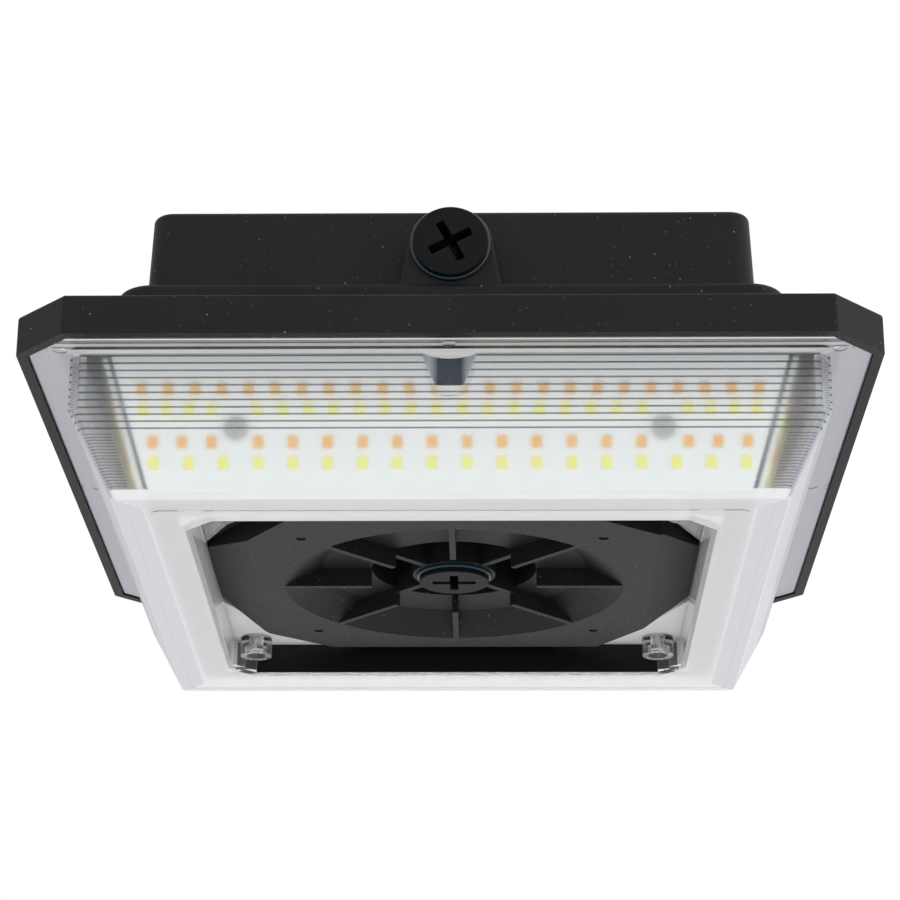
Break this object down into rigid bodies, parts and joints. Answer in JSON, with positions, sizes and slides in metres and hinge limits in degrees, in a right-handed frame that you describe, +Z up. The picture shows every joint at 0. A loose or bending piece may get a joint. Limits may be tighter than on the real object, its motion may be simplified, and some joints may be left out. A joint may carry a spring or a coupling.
{
  "type": "led canopy light",
  "caption": "Square ceiling-mounted LED canopy light: black stepped housing, clear fluted lens, slanted LED boards round a ribbed centre, threaded plugs.",
  "frame": {"origin": "centre of the face that meets the ceiling", "axes": "+Z up into the ceiling, -Y towards the front conduit entry, +X to the right seen from the front"},
  "size_m": [0.26, 0.26, 0.0991],
  "materials": {
    "black_coat": "black powder coat with a fine texture on die-cast aluminium",
    "zinc_steel": "zinc plated",
    "galvanised": "galvanised sheet",
    "stainless": "bright stainless",
    "dark_rubber": "matte silicone",
    "teal_rubber": "smooth, slightly glossy",
    "clear_lens": "clear with fine flutes, frosted on the floor ring",
    "white_board": "white solder mask",
    "warm_phosphor": "orange phosphor, satin",
    "cool_phosphor": "yellow phosphor, satin",
    "driver_metal": "plain sheet",
    "black_plastic": "moulded",
    "white_plastic": "moulded",
    "green_screw": "green plated",
    "black_plug": "fine textured nylon"
  },
  "bodies": {
    "fixture": {"housing": "black_coat", "light_core": "black_coat", "core_screws": "zinc_steel", "back_cover": "galvanised", "back_cover_gasket": "dark_rubber", "back_cover_screws": "zinc_steel", "lens": "clear_lens", "lens_outer_gasket": "dark_rubber", "lens_inner_gasket": "dark_rubber", "lens_corner_screws": "stainless", "led_board_front": "white_board", "led_board_rear": "white_board", "led_board_left": "white_board", "led_board_right": "white_board", "leds_warm": "warm_phosphor", "leds_cool": "cool_phosphor", "board_screws": "zinc_steel", "driver_case": "driver_metal", "driver_lid": "driver_metal", "driver_screws": "zinc_steel", "selector_module": "black_plastic", "selector_screws": "zinc_steel", "ground_screw": "green_screw"},
    "seal_front_set": {"seal_front": "teal_rubber"},
    "plug_front_set": {"plug_front": "black_plug"},
    "seal_rear_set": {"seal_rear": "teal_rubber"},
    "plug_rear_set": {"plug_rear": "black_plug"},
    "seal_centre_set": {"seal_centre": "teal_rubber"},
    "plug_centre_set": {"plug_centre": "black_plug"},
    "colour_selector": {"colour_selector_knob": "white_plastic"}
  },
  "joints": [
    {"name": "plug_front_travel", "type": "slide", "parent": "fixture", "child": "seal_front_set", "axis": [0, -1, 0], "range_m": [0, 0.013]},
    {"name": "plug_front_turn", "type": "hinge", "parent": "seal_front_set", "child": "plug_front_set", "pos_m": [0, -0.1, -0.0157], "axis": [0, -1, 0], "range_deg": [0, 2581]},
    {"name": "plug_rear_travel", "type": "slide", "parent": "fixture", "child": "seal_rear_set", "axis": [0, 1, 0], "range_m": [0, 0.013]},
    {"name": "plug_rear_turn", "type": "hinge", "parent": "seal_rear_set", "child": "plug_rear_set", "pos_m": [0, 0.1, -0.0157], "axis": [0, 1, 0], "range_deg": [0, 2581]},
    {"name": "plug_centre_travel", "type": "slide", "parent": "fixture", "child": "seal_centre_set", "axis": [0, 0, -1], "range_m": [0, 0.013]},
    {"name": "plug_centre_turn", "type": "hinge", "parent": "seal_centre_set", "child": "plug_centre_set", "pos_m": [0, 0, -0.0893], "axis": [0, 0, -1], "range_deg": [0, 2581]},
    {"name": "colour_selector_slide", "type": "slide", "parent": "fixture", "child": "colour_selector", "axis": [1, 0, 0], "range_m": [-0.003, 0.003]}
  ],
  "couplings": [
    {"joint": "plug_front_turn", "follows": "plug_front_travel", "rad_per_m": 3463.7},
    {"joint": "plug_rear_turn", "follows": "plug_rear_travel", "rad_per_m": 3463.7},
    {"joint": "plug_centre_turn", "follows": "plug_centre_travel", "rad_per_m": 3463.7}
  ]
}
